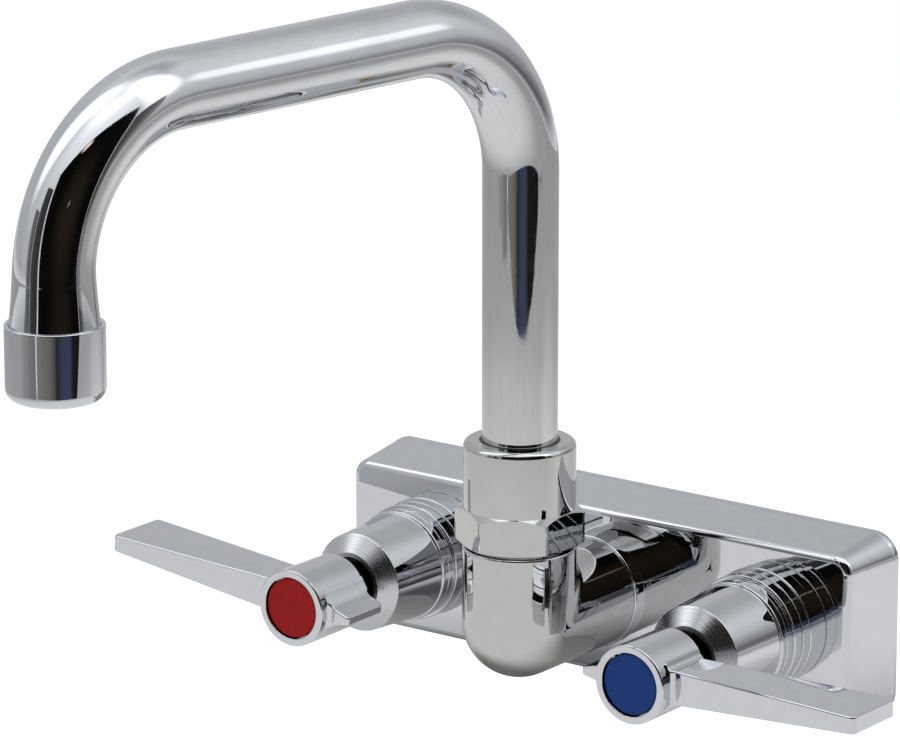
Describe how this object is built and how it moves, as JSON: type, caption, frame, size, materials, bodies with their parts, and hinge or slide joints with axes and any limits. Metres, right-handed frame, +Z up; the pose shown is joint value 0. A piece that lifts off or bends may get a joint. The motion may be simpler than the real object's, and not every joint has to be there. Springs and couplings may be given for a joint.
{
  "type": "wall mounted kitchen faucet",
  "caption": "Chromed splash mounted faucet with a rectangular backplate, quarter turn lever valves and a double bend swing spout ending in an aerator.",
  "frame": {"origin": "middle of the wall face of the gasket, level with the valve axes and midway between them", "axes": "+Z up, +Y into the wall, +X towards the cold valve; the faucet reaches towards -Y"},
  "size_m": [0.2224, 0.2311, 0.1832],
  "materials": {
    "cast_chrome": "polished chrome on cast brass",
    "chrome_plate": "polished chrome",
    "brass": "turned",
    "stainless_steel": "plain",
    "black_rubber": "matte",
    "valve_ceramic": "lapped",
    "white_plastic": "moulded",
    "black_plastic": "moulded",
    "red_plastic": "smooth",
    "blue_plastic": "smooth"
  },
  "bodies": {
    "faucet_body": {"body_casting": "cast_chrome", "wall_gasket": "black_rubber", "hot_inlet_shank": "brass", "cold_inlet_shank": "brass", "shank_washers": "stainless_steel", "shank_lock_nuts": "brass", "hot_bonnet_collar": "chrome_plate", "cold_bonnet_collar": "chrome_plate", "hot_bonnet": "chrome_plate", "cold_bonnet": "chrome_plate", "hot_cartridge": "brass", "cold_cartridge": "brass", "hot_fixed_disc": "valve_ceramic", "cold_fixed_disc": "valve_ceramic", "hot_seat_seal": "black_rubber", "cold_seat_seal": "black_rubber", "spout_elbow": "cast_chrome", "elbow_o_ring": "black_rubber", "spout_nut": "chrome_plate", "spout_bushing": "black_plastic"},
    "hot_lever": {"hot_stem": "stainless_steel", "hot_stem_o_ring": "black_rubber", "hot_moving_disc": "valve_ceramic", "hot_handle": "chrome_plate", "hot_handle_screw": "stainless_steel", "hot_index_button": "red_plastic"},
    "cold_lever": {"cold_stem": "stainless_steel", "cold_stem_o_ring": "black_rubber", "cold_moving_disc": "valve_ceramic", "cold_handle": "chrome_plate", "cold_handle_screw": "stainless_steel", "cold_index_button": "blue_plastic"},
    "swing_spout": {"spout_tube": "chrome_plate", "spout_end_fitting": "brass", "spout_retaining_ring": "brass", "spout_o_rings": "black_rubber", "outlet_fitting": "chrome_plate", "aerator_housing": "chrome_plate", "aerator_washer": "black_rubber", "aerator_insert": "white_plastic", "aerator_screen": "stainless_steel"}
  },
  "joints": [
    {"name": "spout_swivel", "type": "hinge", "parent": "faucet_body", "child": "swing_spout", "pos_m": [0, -0.0515, 0.038], "axis": [0, 0, 1], "range_deg": [-82, 98]},
    {"name": "hot_valve_turn", "type": "hinge", "parent": "faucet_body", "child": "hot_lever", "pos_m": [-0.0508, -0.0565, 0], "axis": [0, -1, 0], "range_deg": [0, 90]},
    {"name": "cold_valve_turn", "type": "hinge", "parent": "faucet_body", "child": "cold_lever", "pos_m": [0.0508, -0.0565, 0], "axis": [0, 1, 0], "range_deg": [0, 90]}
  ]
}
